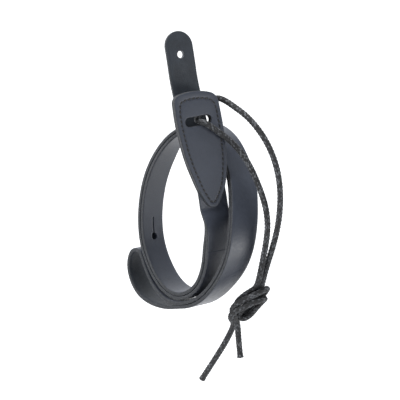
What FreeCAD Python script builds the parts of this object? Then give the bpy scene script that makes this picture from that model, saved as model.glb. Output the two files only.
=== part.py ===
import FreeCAD, Part
import math, os
from FreeCAD import Vector, Placement, Rotation, Matrix

# Narrow leather instrument strap with a tie cord, folded in half and coiled.
# Frame: millimetres, +Z up. Origin at the centre of the button hole in the
# tail tab, from which the strap hangs. X runs across the coil in its plane,
# Y runs along the coil's axis (the direction of the strap's width).

doc = FreeCAD.newDocument("tie_cord_strap")
os.makedirs("parts", exist_ok=True)

# ---------------------------------------------------------------- dimensions
sheet = doc.addObject("Spreadsheet::Sheet", "Dims")
DIMS = [
    ("strap_width", 19.05, "3/4 inch strap"),
    ("strap_thick", 2.2, "leather thickness"),
    ("skive_thick", 1.2, "sewn end, skived thin"),
    ("panel_thick", 2.17, "head panel leather"),
    ("panel_inner", 0.03, "panel inner face from the middle plane"),
    ("recess_deep", 0.67, "skived recess for the strap's end"),
    ("recess_wide", 20.6, "recess width"),
    ("recess_top", 44.0, "recess end above the tip datum"),
    ("slot_length", 18.2, "cord slot, end to end"),
    ("slot_height", 5.6, "cord slot width"),
    ("slot_level", 53.4, "slot centre above the tip datum"),
    ("slot_side", -2.0, "slot centre across the head"),
    ("hole_dia", 4.6, "button hole in the tab"),
    ("key_dia", 4.8, "round end of the keyhole"),
    ("key_slit", 0.9, "slit width"),
    ("tab_reach", 14.4, "hole centre to tab tip"),
    ("cord_dia", 3.6, "round braided cord"),
    ("knot_long", 14.2, "knot semi-axis along"),
    ("knot_wide", 8.0, "knot semi-axis across"),
    ("knot_deep", 6.6, "knot semi-axis, depth"),
    ("thread_dia", 0.7, "waxed thread"),
    ("stitch_len", 2.4, "visible stitch"),
    ("stitch_pitch", 3.0, "stitch pitch"),
    ("stitch_sink", 0.25, "thread axis below the leather's face"),
]
D = {}
for i, (name, val, note) in enumerate(DIMS, start=1):
    sheet.set("A%d" % i, name)
    sheet.set("B%d" % i, str(val))
    sheet.set("C%d" % i, note)
    sheet.setAlias("B%d" % i, name)
doc.recompute()
for name, val, note in DIMS:
    D[name] = float(sheet.get(name))

# ------------------------------------------------------------------ stations
# The strap's middle line through the coil. Each row: centre x, y, z; the
# direction across the width (near edge to far edge); the outward normal;
# the local thickness. It runs from the tab's tip, down behind the head, round
# the inner turn, over the top, down the outer turn, round the fold at the
# lower left, and back along the same route to the end sewn in the head.
STATIONS = [
    (-2.463, -0.696, 14.377, 0.35446, 0.92771, 0.11707, 0.92510, -0.36615, 0.10059, 2.20),
    (-0.820, -0.249, 4.927, 0.35764, 0.92845, 0.10034, 0.91493, -0.36989, 0.16149, 2.20),
    (0.820, 0.249, -4.927, 0.35432, 0.92760, 0.11837, 0.92734, -0.36484, 0.08330, 2.20),
    (1.946, 1.263, -15.175, 0.35168, 0.92627, 0.13546, 0.92375, -0.36683, 0.11010, 2.20),
    (4.090, 1.881, -24.941, 0.34920, 0.92685, 0.13785, 0.90457, -0.37182, 0.20855, 2.20),
    (6.584, 2.306, -34.663, 0.35577, 0.92788, 0.11169, 0.89882, -0.37244, 0.23109, 2.20),
    (9.384, 2.556, -44.348, 0.33359, 0.92466, 0.18365, 0.89075, -0.37295, 0.25975, 2.20),
    (12.794, 3.846, -53.869, 0.31122, 0.91901, 0.24201, 0.88489, -0.37310, 0.27887, 2.20),
    (16.530, 4.811, -64.374, 0.33916, 0.92612, 0.16512, 0.88852, -0.37302, 0.26718, 2.20),
    (19.180, 5.227, -74.072, 0.35758, 0.92830, 0.10201, 0.91126, -0.37072, 0.17937, 2.20),
    (20.639, 5.440, -81.943, 0.35787, 0.92841, 0.09992, 0.91309, -0.37033, 0.17065, 2.20),
    (21.964, 5.807, -88.932, 0.35682, 0.92583, 0.12454, 0.92595, -0.36817, 0.08406, 2.20),
    (22.870, 6.283, -95.445, 0.35946, 0.92744, 0.10321, 0.89281, -0.37398, 0.25106, 2.20),
    (24.581, 5.871, -100.050, 0.34590, 0.93728, -0.04309, 0.88393, -0.31012, 0.34998, 2.20),
    (25.694, 4.131, -108.188, 0.07142, 0.97952, -0.18824, 0.99741, -0.06843, 0.02234, 2.20),
    (25.339, 3.047, -116.804, 0.03292, 0.99625, -0.08007, 0.99672, -0.03865, -0.07105, 2.20),
    (24.358, 2.621, -125.736, -0.00271, 0.99986, -0.01658, 0.98666, -0.00003, -0.16277, 2.20),
    (22.167, 2.626, -134.267, 0.00167, 0.99999, 0.00449, 0.93744, -0.00000, -0.34815, 2.20),
    (17.950, 2.625, -141.928, -0.00085, 1.00000, -0.00105, 0.77633, 0.00000, -0.63032, 2.20),
    (11.419, 2.625, -147.339, 0.00033, 1.00000, 0.00018, 0.48182, 0.00000, -0.87627, 2.20),
    (3.188, 2.625, -149.752, -0.00009, 1.00000, -0.00000, 0.02763, 0.00000, -0.99962, 2.20),
    (-4.885, 2.625, -147.891, -0.00002, 1.00000, 0.00001, -0.43529, -0.00000, -0.90029, 2.20),
    (-11.905, 2.625, -142.712, 0.00012, 1.00000, -0.00013, -0.71202, -0.00000, -0.70215, 2.20),
    (-17.356, 2.625, -135.794, -0.00029, 1.00000, 0.00045, -0.83877, -0.00000, -0.54449, 2.20),
    (-21.632, 2.624, -127.964, 0.00070, 1.00000, -0.00154, -0.91264, 0.00001, -0.40876, 2.20),
    (-24.524, 2.626, -119.539, -0.00137, 0.99998, 0.00586, -0.97354, -0.00000, -0.22852, 2.20),
    (-25.820, 2.621, -110.946, 0.00197, 0.99978, -0.02095, -0.99544, -0.00004, -0.09536, 2.20),
    (-26.382, 3.095, -102.622, 0.00288, 0.99579, -0.09157, -0.99929, -0.00057, -0.03758, 2.20),
    (-26.449, 4.140, -94.274, -0.00484, 0.98794, -0.15477, -0.99980, -0.00176, 0.02006, 2.20),
    (-26.058, 5.719, -86.045, -0.02247, 0.97406, -0.22516, -0.99692, -0.00490, 0.07828, 2.20),
    (-25.128, 7.894, -78.129, -0.06249, 0.95549, -0.28834, -0.98552, -0.01345, 0.16900, 2.20),
    (-23.252, 10.634, -70.114, -0.12606, 0.94368, -0.30590, -0.95236, -0.02880, 0.30363, 2.20),
    (-20.433, 13.585, -62.563, -0.22497, 0.92725, -0.29932, -0.90328, -0.08330, 0.42088, 2.20),
    (-16.796, 16.918, -55.698, -0.36898, 0.89671, -0.24448, -0.76225, -0.14145, 0.63163, 2.20),
    (-10.439, 20.843, -50.123, -0.39561, 0.91457, -0.08399, -0.42457, -0.10102, 0.89974, 2.20),
    (-1.820, 24.165, -48.163, -0.31129, 0.94986, 0.02936, 0.05776, -0.01193, 0.99826, 2.20),
    (7.523, 26.670, -51.331, -0.11024, 0.98940, 0.09448, 0.51810, -0.02392, 0.85498, 2.20),
    (15.172, 27.214, -57.854, 0.08769, 0.99282, 0.08130, 0.75830, -0.11945, 0.64087, 2.20),
    (20.817, 26.991, -65.963, 0.19713, 0.97938, 0.04428, 0.81422, -0.18871, 0.54904, 2.20),
    (26.797, 25.263, -74.814, 0.31622, 0.94434, -0.09065, 0.78507, -0.20684, 0.58385, 2.20),
    (31.866, 21.785, -83.368, 0.39224, 0.89593, -0.20847, 0.81749, -0.23561, 0.52555, 2.20),
    (35.301, 18.266, -91.109, 0.38686, 0.88997, -0.24144, 0.85828, -0.25177, 0.44717, 2.20),
    (38.000, 14.965, -99.036, 0.36476, 0.89726, -0.24875, 0.89664, -0.26648, 0.35359, 2.20),
    (39.644, 12.064, -107.155, 0.31539, 0.91471, -0.25265, 0.94161, -0.26858, 0.20306, 2.20),
    (39.983, 9.633, -115.649, 0.24662, 0.93399, -0.25855, 0.96805, -0.24991, 0.02060, 2.20),
    (38.686, 7.430, -124.320, 0.15138, 0.95015, -0.27256, 0.95656, -0.21031, -0.20188, 2.20),
    (35.544, 5.507, -132.377, 0.04350, 0.96731, -0.24984, 0.89072, -0.15081, -0.42880, 2.20),
    (31.002, 3.977, -139.428, -0.01837, 0.98638, -0.16346, 0.79816, -0.08400, -0.59656, 2.20),
    (25.584, 3.144, -145.485, -0.02597, 0.99673, -0.07652, 0.68923, -0.03759, -0.72357, 2.20),
    (18.747, 2.714, -150.695, -0.02114, 0.99958, -0.01989, 0.50582, -0.00647, -0.86262, 2.20),
    (11.077, 2.610, -154.066, -0.00140, 1.00000, -0.00060, 0.30872, -0.00014, -0.95115, 2.20),
    (2.187, 2.624, -155.771, 0.00141, 1.00000, -0.00097, 0.03126, -0.00102, -0.99951, 2.20),
    (-4.539, 2.624, -154.967, -0.00177, 0.99999, -0.00447, -0.27415, -0.00479, -0.96167, 2.20),
    (-11.407, 2.624, -151.656, -0.00552, 0.99995, -0.00823, -0.56757, -0.00991, -0.82326, 2.20),
    (-17.126, 2.624, -146.496, -0.00996, 0.99991, -0.00862, -0.75437, -0.01317, -0.65632, 2.20),
    (-21.676, 2.624, -140.071, -0.01297, 0.99989, -0.00763, -0.86223, -0.01505, -0.50630, 2.20),
    (-24.962, 2.624, -133.606, -0.01464, 0.99987, -0.00641, -0.91585, -0.01599, -0.40121, 2.20),
    (-26.983, 2.624, -128.924, -0.01437, 0.99987, -0.00666, -0.90724, -0.01584, -0.42031, 2.20),
    (-29.102, 2.624, -125.928, -0.00562, 0.99995, -0.00815, -0.56717, -0.00990, -0.82354, 2.20),
    (-32.186, 2.624, -125.229, -0.00020, 1.00000, 0.00187, 0.10783, 0.00188, -0.99417, 2.20),
    (-35.294, 2.624, -126.669, -0.00812, 0.99993, 0.00871, 0.68187, 0.01190, -0.73138, 2.20),
    (-37.393, 2.624, -130.275, -0.01566, 0.99986, 0.00529, 0.94727, 0.01653, -0.32000, 2.20),
    (-38.298, 2.624, -135.579, -0.01745, 0.99985, 0.00022, 0.99977, 0.01745, -0.01284, 2.20),
    (-37.223, 2.624, -142.292, -0.01583, 0.99986, -0.00507, 0.95212, 0.01662, 0.30526, 2.20),
    (-34.156, 2.624, -148.635, -0.01203, 0.99989, -0.00807, 0.83023, 0.01449, 0.55724, 2.20),
    (-29.282, 2.624, -153.893, -0.00641, 0.99994, -0.00842, 0.60618, 0.01058, 0.79526, 2.20),
    (-22.283, 2.624, -157.490, -0.00184, 0.99998, -0.00531, 0.32225, 0.00562, 0.94664, 2.20),
    (-14.055, 2.624, -159.281, -0.00011, 1.00000, -0.00201, 0.11509, 0.00201, 0.99335, 2.20),
    (-5.642, 2.624, -159.479, -0.00056, 1.00000, 0.00130, -0.07692, -0.00134, 0.99704, 2.20),
    (2.479, 2.624, -158.335, 0.00130, 1.00000, 0.00078, -0.15846, -0.00056, 0.98737, 2.20),
    (11.806, 2.610, -156.540, -0.00134, 1.00000, -0.00036, -0.27709, -0.00003, 0.96084, 2.20),
    (20.142, 2.701, -152.865, -0.01518, 0.99975, -0.01627, -0.51511, 0.00612, 0.85710, 2.20),
    (27.453, 3.054, -147.261, -0.01566, 0.99765, -0.06674, -0.69008, 0.03752, 0.72276, 2.20),
    (33.190, 3.792, -140.783, -0.00482, 0.98933, -0.14559, -0.80155, 0.08323, 0.59211, 2.20),
    (37.962, 5.176, -133.215, 0.05734, 0.97314, -0.22294, -0.89377, 0.14954, 0.42286, 2.20),
    (41.210, 6.954, -124.563, 0.15849, 0.95648, -0.24500, -0.95808, 0.20896, 0.19599, 2.20),
    (42.481, 9.044, -115.385, 0.24755, 0.93954, -0.23661, -0.96820, 0.24901, -0.02418, 2.20),
    (42.048, 11.421, -106.474, 0.31328, 0.91980, -0.23627, -0.94129, 0.26780, -0.20555, 2.20),
    (40.286, 14.314, -98.034, 0.36223, 0.90074, -0.23971, -0.89636, 0.26610, -0.35460, 2.20),
    (37.497, 17.637, -89.910, 0.38483, 0.89223, -0.23629, -0.85815, 0.25162, -0.44752, 2.20),
    (33.962, 21.188, -81.987, 0.39114, 0.89691, -0.20631, -0.81735, 0.23549, -0.52581, 2.20),
    (28.840, 24.721, -73.334, 0.31787, 0.94355, -0.09314, -0.78513, 0.20687, -0.58376, 2.20),
    (22.978, 26.496, -64.643, 0.20422, 0.97835, 0.03342, -0.81299, 0.18853, -0.55091, 2.20),
    (17.289, 26.906, -56.412, 0.10375, 0.99266, 0.06212, -0.76257, 0.11949, -0.63578, 2.20),
    (9.138, 26.650, -49.319, -0.07894, 0.99402, 0.07548, -0.52690, 0.02268, -0.84963, 2.20),
    (-1.382, 24.226, -45.621, -0.28471, 0.95821, 0.02766, -0.07251, 0.00724, -0.99734, 2.20),
    (-11.290, 20.693, -47.692, -0.37222, 0.92536, -0.07189, 0.41499, 0.09664, -0.90468, 2.20),
    (-18.491, 16.737, -53.761, -0.34434, 0.91479, -0.21115, 0.75507, 0.13619, -0.64135, 2.20),
    (-22.617, 13.492, -61.192, -0.21179, 0.93956, -0.26900, 0.89993, 0.08014, -0.42862, 2.20),
    (-25.646, 10.623, -69.151, -0.12043, 0.95012, -0.28768, 0.95161, 0.02796, -0.30604, 2.20),
    (-27.650, 7.894, -77.582, -0.06050, 0.95908, -0.27660, 0.98519, 0.01284, -0.17099, 2.20),
    (-28.625, 5.719, -85.788, -0.02201, 0.97541, -0.21927, 0.99688, 0.00478, -0.07881, 2.20),
    (-29.028, 4.140, -94.193, -0.00479, 0.98836, -0.15209, 0.99979, 0.00173, -0.02023, 2.20),
    (-28.961, 3.095, -102.703, 0.00281, 0.99596, -0.08974, 0.99930, 0.00055, 0.03738, 2.20),
    (-28.389, 2.621, -111.187, 0.00196, 0.99978, -0.02080, 0.99542, 0.00004, 0.09562, 2.20),
    (-27.036, 2.626, -120.129, -0.00137, 0.99998, 0.00585, 0.97360, 0.00000, 0.22827, 2.20),
    (-23.980, 2.624, -129.033, 0.00069, 1.00000, -0.00152, 0.91252, -0.00000, 0.40904, 2.20),
    (-19.536, 2.625, -137.174, -0.00029, 1.00000, 0.00045, 0.83899, 0.00000, 0.54415, 2.20),
    (-13.719, 2.625, -144.547, 0.00013, 1.00000, -0.00013, 0.71135, 0.00000, 0.70284, 2.20),
    (-6.102, 2.625, -150.166, -0.00005, 1.00000, 0.00002, 0.43882, 0.00000, 0.89858, 2.20),
    (3.377, 2.625, -152.325, -0.00000, 1.00000, -0.00000, -0.03376, -0.00000, 0.99943, 2.20),
    (12.590, 2.625, -149.638, 0.00004, 1.00000, 0.00002, -0.47873, -0.00000, 0.87796, 2.20),
    (19.996, 2.625, -143.500, -0.00008, 1.00000, -0.00010, -0.77823, -0.00000, 0.62798, 2.20),
    (24.574, 2.626, -135.196, 0.00007, 1.00000, 0.00019, -0.93698, 0.00000, 0.34938, 2.20),
    (26.911, 2.621, -126.105, 0.00009, 1.00000, 0.00042, -0.98697, 0.00002, 0.16092, 2.20),
    (27.902, 2.587, -116.876, 0.03932, 0.99920, 0.00793, -0.99666, 0.03865, 0.07189, 2.10),
    (28.177, 2.520, -107.766, 0.06826, 0.99764, -0.00743, -0.99699, 0.06794, -0.03740, 1.80),
    (26.613, 2.808, -98.382, 0.30771, 0.94918, 0.06606, -0.89566, 0.31239, -0.31654, 1.60),
    (25.257, 2.870, -94.407, 0.35564, 0.92708, 0.11855, -0.90273, 0.37358, -0.21335, 1.25),
    (24.636, 2.533, -89.883, 0.35755, 0.92652, 0.11715, -0.92791, 0.36662, -0.06754, 1.20),
    (23.362, 2.001, -81.732, 0.35464, 0.92780, 0.11584, -0.91976, 0.36845, -0.13520, 1.20),
    (22.109, 1.493, -73.847, 0.35458, 0.92778, 0.11620, -0.92234, 0.36745, -0.11941, 1.20),
    (20.856, 0.985, -65.962, 0.35459, 0.92778, 0.11611, -0.92168, 0.36773, -0.12365, 1.20),
    (19.760, 0.540, -59.063, 0.35459, 0.92778, 0.11614, -0.92189, 0.36764, -0.12230, 1.20),
    (18.664, 0.096, -52.164, 0.35459, 0.92778, 0.11611, -0.92168, 0.36773, -0.12365, 1.20),
]
SPLIT = 107          # station just below the head's tip, where the end flexes
# frames along the keyhole's slit: centre, width direction, normal
KEYHOLE = [
    (-25.051, 2.605, -116.946, -0.00156, 0.99997, 0.00790, -0.98517, -0.00018, -0.17160),
    (-25.421, 2.592, -114.513, -0.00038, 1.00000, 0.00183, -0.99132, -0.00014, -0.13145),
    (-25.709, 2.603, -112.066, 0.00123, 0.99993, -0.01202, -0.99460, -0.00003, -0.10382),
    (-25.942, 2.657, -109.614, 0.00270, 0.99947, -0.03250, -0.99623, -0.00013, -0.08674),
    (-26.135, 2.763, -107.163, 0.00343, 0.99856, -0.05353, -0.99753, -0.00034, -0.07026),
    (-26.287, 2.921, -104.712, 0.00345, 0.99724, -0.07422, -0.99860, -0.00049, -0.05297),
]


def vec(t):
    return Vector(t[0], t[1], t[2])


def ribbon(rows, half_w, thick=None, lift=None, drop=None):
    """Closed solid between four interpolated edge curves, with flat ends."""
    corners = [[], [], [], []]
    for r in rows:
        p, w, n = vec(r[0:3]), vec(r[3:6]), vec(r[6:9])
        hi = lift if lift is not None else (thick or r[9]) / 2.0
        lo = drop if drop is not None else -(thick or r[9]) / 2.0
        corners[0].append(p - w * half_w + n * lo)
        corners[1].append(p + w * half_w + n * lo)
        corners[2].append(p + w * half_w + n * hi)
        corners[3].append(p - w * half_w + n * hi)
    mid = [vec(r[0:3]) for r in rows]
    par = [0.0]
    for a, b in zip(mid, mid[1:]):
        par.append(par[-1] + (b - a).Length)
    curves = []
    for pts in corners:
        c = Part.BSplineCurve()
        c.interpolate(Points=pts, Parameters=par)
        curves.append(c)
    # the long faces are divided every few stations, so that each stays simple
    cuts = list(range(0, len(rows) - 1, 4)) + [len(rows) - 1]
    if len(cuts) > 2 and cuts[-1] - cuts[-2] < 2:
        cuts.pop(-2)
    faces = []
    for a, b in zip(cuts, cuts[1:]):
        seg = [c.toShape(par[a], par[b]) for c in curves]
        faces += [Part.makeRuledSurface(seg[k], seg[(k + 1) % 4]) for k in range(4)]
    for end in (0, -1):
        loop = [corners[k][end] for k in range(4)]
        faces.append(Part.Face(Part.makePolygon(loop + [loop[0]])))
    flat = []
    for f in faces:
        flat.extend(f.Faces)
    shell = Part.makeShell(flat)
    shell.sewShape()
    if shell.ShapeType != "Shell":
        shell = shell.Shells[0]
    solid = Part.Solid(shell)
    if solid.Volume < 0:
        solid.reverse()
    return solid


def frame_placement(p, xdir, ydir, zdir):
    m = Matrix(xdir.x, ydir.x, zdir.x, p.x,
               xdir.y, ydir.y, zdir.y, p.y,
               xdir.z, ydir.z, zdir.z, p.z,
               0, 0, 0, 1)
    return Placement(m)


parts = []

# --------------------------------------------------------------------- strap
half_w = D["strap_width"] / 2.0
main = ribbon(STATIONS[:SPLIT + 1], half_w)
end_piece = ribbon(STATIONS[SPLIT:], half_w)

# rounded tip of the tab: the corners outside a semicircle are cut away
hx, hz = vec(STATIONS[0][3:6]), vec(STATIONS[0][6:9])
hy = hz.cross(hx)                       # towards the tip
R = half_w
tip_centre = hy * (D["tab_reach"] - R)
block = Part.makeBox(4 * R, 2.5 * R, 12, Vector(-2 * R, 0, -6))
disc = Part.makeCylinder(R, 14, Vector(0, 0, -7))
corner = block.cut(disc)
corner.Placement = frame_placement(tip_centre, hx, hy, hz)
main = main.cut(corner)

# button hole: round, through the tab, its axis is the tab's normal
hole = Part.makeCylinder(D["hole_dia"] / 2.0, 12, Vector(0, 0, -6))
hole.Placement = frame_placement(Vector(0, 0, 0), hx, hy, hz)
main = main.cut(hole)

# keyhole further along: a round hole at the end of a slit, through one layer
gap = 0.17
k0 = KEYHOLE[0]
kx, kz = vec(k0[3:6]), vec(k0[6:9])
ky = kz.cross(kx)
reach = D["strap_thick"] / 2.0 + gap
khole = Part.makeCylinder(D["key_dia"] / 2.0, reach + 4.0, Vector(0, 0, -4.0))
khole.Placement = frame_placement(vec(k0[0:3]), kx, ky, kz)
slit = ribbon([tuple(r) + (0,) for r in KEYHOLE], D["key_slit"] / 2.0, lift=reach, drop=-3.0)
main = main.cut(khole).cut(slit)
if main.ShapeType == "Compound" and len(main.Solids) == 1:
    main = main.Solids[0]

o = doc.addObject("Part::Feature", "strap")
o.Shape = main
o.Label = "strap"
parts.append(o)
o = doc.addObject("Part::Feature", "strap_head_end")
o.Shape = end_piece
o.Label = "strap_head_end"
parts.append(o)

# ---------------------------------------------------------------------- head
# Head datum: on the strap's middle plane at the head's pointed lower end.
# Local x across the head, local y up the head, local z outward (front).
HT, DH, TH, NH = vec((25.084, 2.700, -92.574)), vec((0.35459, 0.92778, 0.11613)), vec((0.15658, 0.06352, -0.98562)), vec((0.92182, -0.36767, 0.12275))
UP = TH * -1.0


def head_frame(n):
    return frame_placement(HT + NH * n, DH, UP, NH)


# Outline of the head, seen from the front: (across, up). Arcs through three
# points each: the tip, up the right side, the top, and down the left side.
OUTLINE = [
    ((-5.4, 2.3), (-0.7, -0.9), (4.0, 2.3)),
    ((4.0, 2.3), (8.5, 9.0), (11.7, 18.0)),
    ((11.7, 18.0), (13.6, 27.5), (14.4, 37.0)),
    ((14.4, 37.0), (14.8, 49.0), (14.3, 61.5)),
    ((14.3, 61.5), (13.1, 66.8), (9.2, 69.8)),
    ((9.2, 69.8), (-1.3, 71.9), (-11.2, 71.2)),
    ((-11.2, 71.2), (-15.1, 69.4), (-16.5, 64.8)),
    ((-16.5, 64.8), (-16.75, 53.5), (-15.9, 42.5)),
    ((-15.9, 42.5), (-14.3, 30.0), (-11.3, 18.3)),
    ((-11.3, 18.3), (-8.7, 9.6), (-5.4, 2.3)),
]


def shield_edges(side=1.0):
    """The outline's arcs; side -1 gives the mirror image for a flipped panel."""
    return [Part.Arc(*[Vector(side * x, y, 0) for x, y in q]) for q in OUTLINE]


def stitch_inset(x, y):
    """Distance of the stitch line from the edge: wider along the top."""
    t = min(1.0, max(0.0, (y - 60.0) / 8.0))
    return 2.9 + 1.5 * t


def stitch_line():
    ring = []
    for e in shield_edges():
        for p in e.toShape().discretize(Number=25)[:-1]:
            ring.append(p)
    n = len(ring)
    for _ in range(12):
        ring = [ring[i] * 0.5 + (ring[i - 1] + ring[(i + 1) % n]) * 0.25 for i in range(n)]
    out = []
    for i in range(n):
        t = ring[(i + 3) % n] - ring[i - 3]
        t.normalize()
        d = stitch_inset(ring[i].x, ring[i].y)
        out.append(Vector(ring[i].x - t.y * d, ring[i].y + t.x * d, 0))
    for _ in range(6):
        out = [out[i] * 0.5 + (out[i - 1] + out[(i + 1) % n]) * 0.25 for i in range(n)]
    return Part.makePolygon(out + [out[0]])


def xy_plane(body):
    return [f for f in body.Origin.OriginFeatures if f.Role == "XY_Plane"][0]


def panel(name, placement, side):
    """One head panel. Local z=0 is its inner face, +z its grain face."""
    body = doc.addObject("PartDesign::Body", name)
    body.Label = name
    sk = body.newObject("Sketcher::SketchObject", name + "_outline")
    sk.AttachmentSupport = (xy_plane(body), [""])
    sk.MapMode = "FlatFace"
    for e in shield_edges(side):
        sk.addGeometry(e, False)
    pad = body.newObject("PartDesign::Pad", name + "_pad")
    pad.Profile = sk
    pad.setExpression("Length", "Dims.panel_thick")
    doc.recompute()
    full = pad.Shape.Volume

    # slot for the cord, through the panel
    s2 = body.newObject("Sketcher::SketchObject", name + "_slot_line")
    s2.AttachmentSupport = (xy_plane(body), [""])
    s2.MapMode = "FlatFace"
    r = D["slot_height"] / 2.0
    a = D["slot_length"] / 2.0 - r
    y = D["slot_level"]
    x = D["slot_side"] * side
    s2.addGeometry(Part.LineSegment(Vector(x - a, y + r, 0), Vector(x + a, y + r, 0)), False)
    s2.addGeometry(Part.Arc(Vector(x + a, y + r, 0), Vector(x + a + r, y, 0), Vector(x + a, y - r, 0)), False)
    s2.addGeometry(Part.LineSegment(Vector(x + a, y - r, 0), Vector(x - a, y - r, 0)), False)
    s2.addGeometry(Part.Arc(Vector(x - a, y - r, 0), Vector(x - a - r, y, 0), Vector(x - a, y + r, 0)), False)
    pk = body.newObject("PartDesign::Pocket", name + "_slot")
    pk.Profile = s2
    pk.Reversed = True
    pk.Type = 0
    pk.Length = 5.0
    doc.recompute()
    if full - pk.Shape.Volume < 1.0:
        pk.Reversed = False
        doc.recompute()
    slotted = pk.Shape.Volume

    # shallow recess in the inner face, open at the tip, for the strap's end
    s3 = body.newObject("Sketcher::SketchObject", name + "_recess_line")
    s3.AttachmentSupport = (xy_plane(body), [""])
    s3.MapMode = "FlatFace"
    w, t = D["recess_wide"] / 2.0, D["recess_top"]
    c = [Vector(-w, -6, 0), Vector(w, -6, 0), Vector(w, t, 0), Vector(-w, t, 0)]
    for i in range(4):
        s3.addGeometry(Part.LineSegment(c[i], c[(i + 1) % 4]), False)
    rc = body.newObject("PartDesign::Pocket", name + "_recess")
    rc.Profile = s3
    rc.Reversed = True
    rc.Type = 0
    rc.setExpression("Length", "Dims.recess_deep")
    doc.recompute()
    if slotted - rc.Shape.Volume < 1.0:
        rc.Reversed = False
        doc.recompute()
    print(name, "slot removes", round(full - slotted, 1), "recess removes", round(slotted - rc.Shape.Volume, 1))
    body.Tip = rc
    body.Placement = placement
    parts.append(body)
    return body


panel("head_front_panel", head_frame(D["panel_inner"]), 1.0)
panel("head_back_panel", frame_placement(HT - NH * D["panel_inner"], DH * -1.0, UP, NH * -1.0), -1.0)

# lockstitch: one row of stitches round the head on each face
line = stitch_line()
count = int(round(line.Length / D["stitch_pitch"]))
pts = line.discretize(Number=count + 1)


def stitches(name, z):
    row = []
    for i in range(count):
        a, b = pts[i], pts[(i + 1) % len(pts)] if i + 1 < len(pts) else pts[0]
        mid = (a + b) * 0.5
        d = (b - a)
        d.normalize()
        s = mid - d * (D["stitch_len"] / 2.0)
        row.append(Part.makeCylinder(D["thread_dia"] / 2.0, D["stitch_len"], Vector(s.x, s.y, z), d))
    o = doc.addObject("Part::Feature", name)
    o.Shape = Part.makeCompound(row)
    o.Label = name
    o.Placement = head_frame(0)
    parts.append(o)


face = D["panel_inner"] + D["panel_thick"] - D["stitch_sink"]
stitches("needle_thread", face)
stitches("bobbin_thread", -face)
print("stitches per face", count)

# ---------------------------------------------------------------------- cord
CORD_FRONT = [(16.59, -1.25, -40.64), (18.88, -2.25, -40.43), (21.51, -1.36, -41.19), (23.64, 1.85, -43.53), (25.75, 6.08, -46.75), (28.20, 10.42, -50.47), (30.79, 14.60, -54.24), (36.75, 18.10, -62.21), (42.72, 19.60, -71.86), (48.28, 20.10, -82.67), (52.65, 20.10, -93.19), (55.07, 19.10, -104.38), (54.75, 17.60, -115.47), (53.32, 16.10, -126.08), (51.97, 15.10, -135.51), (50.60, 14.10, -144.34)]
CORD_BACK = [(16.59, -1.25, -40.64), (14.22, -0.35, -40.48), (12.57, 1.61, -38.55), (13.09, 4.85, -34.40), (14.60, 10.30, -29.39), (16.60, 15.69, -26.63), (20.98, 18.70, -28.53), (26.43, 19.41, -31.45), (36.22, 20.60, -37.06), (44.53, 22.60, -45.26), (51.64, 24.10, -55.43), (57.01, 24.60, -66.86), (59.97, 24.60, -79.02), (60.76, 24.10, -91.95), (59.77, 22.90, -105.61), (57.05, 21.30, -118.20), (54.06, 19.90, -128.70), (51.99, 18.90, -137.30), (50.46, 17.90, -144.92)]
TAIL_SHORT = [(37.96, 14.10, -157.97), (35.51, 13.60, -166.51), (36.68, 13.40, -177.82), (38.41, 13.10, -188.72)]
TAIL_LONG = [(34.76, 17.10, -158.22), (31.17, 16.60, -168.22), (24.30, 16.10, -181.00), (15.80, 15.50, -193.48), (5.35, 15.10, -208.08)]
KNOT = (43.53, 14.60, -153.52)


def cord_path(points):
    """Straight runs joined by tangent arcs, each as large as its runs allow."""
    P = [vec(p) for p in points]
    edges, radii, cur = [], [], P[0]
    for i in range(1, len(P) - 1):
        a, b, c = P[i - 1], P[i], P[i + 1]
        u, v = (b - a), (c - b)
        lu, lv = u.Length, v.Length
        u.normalize()
        v.normalize()
        ang = u.getAngle(v)
        back = 0.45 * min(lu, lv)
        rad = back / math.tan(ang / 2.0)
        radii.append(rad)
        s, e = b - u * back, b + v * back
        centre_dir = (v - u)
        centre_dir.normalize()
        mid_pt = b + centre_dir * (rad / math.cos(ang / 2.0) - rad)
        edges.append(Part.LineSegment(cur, s).toShape())
        edges.append(Part.Arc(s, mid_pt, e).toShape())
        cur = e
    edges.append(Part.LineSegment(cur, P[-1]).toShape())
    return Part.Wire(edges), radii


def tube(name, points):
    wire, radii = cord_path(points)
    r = D["cord_dia"] / 2.0
    start = vec(points[0])
    d0 = vec(points[1]) - start
    d0.normalize()
    prof = Part.Wire([Part.makeCircle(r, start, d0)])
    mk = Part.BRepOffsetAPI.MakePipeShell(wire)
    mk.setFrenetMode(False)
    mk.add(prof, False, False)
    mk.build()
    mk.makeSolid()
    shp = mk.shape()
    ideal = math.pi * r * r * wire.Length
    print(name, "length", round(wire.Length, 1), "volume ratio", round(shp.Volume / ideal, 4),
          "radii", [round(x, 1) for x in radii])
    o = doc.addObject("Part::Feature", name)
    o.Shape = shp
    o.Label = name
    parts.append(o)


tube("cord_front_run", CORD_FRONT)
tube("cord_back_run", CORD_BACK)
tube("cord_tail_short", TAIL_SHORT)
tube("cord_tail_long", TAIL_LONG)

# the knot's outer shape
k = doc.addObject("Part::Ellipsoid", "cord_knot")
k.Label = "cord_knot"
k.setExpression("Radius1", "Dims.knot_deep")
k.setExpression("Radius2", "Dims.knot_long")
k.setExpression("Radius3", "Dims.knot_wide")
kx = Vector(0.471, 0.547, 0.692)
kx.normalize()
kzv = Vector(0.637, -0.759, 0.139)
kzv = kzv - kx * kzv.dot(kx)
kzv.normalize()
kyv = kzv.cross(kx)
k.Placement = frame_placement(vec(KNOT), kx, kyv, kzv)
parts.append(k)

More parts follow.
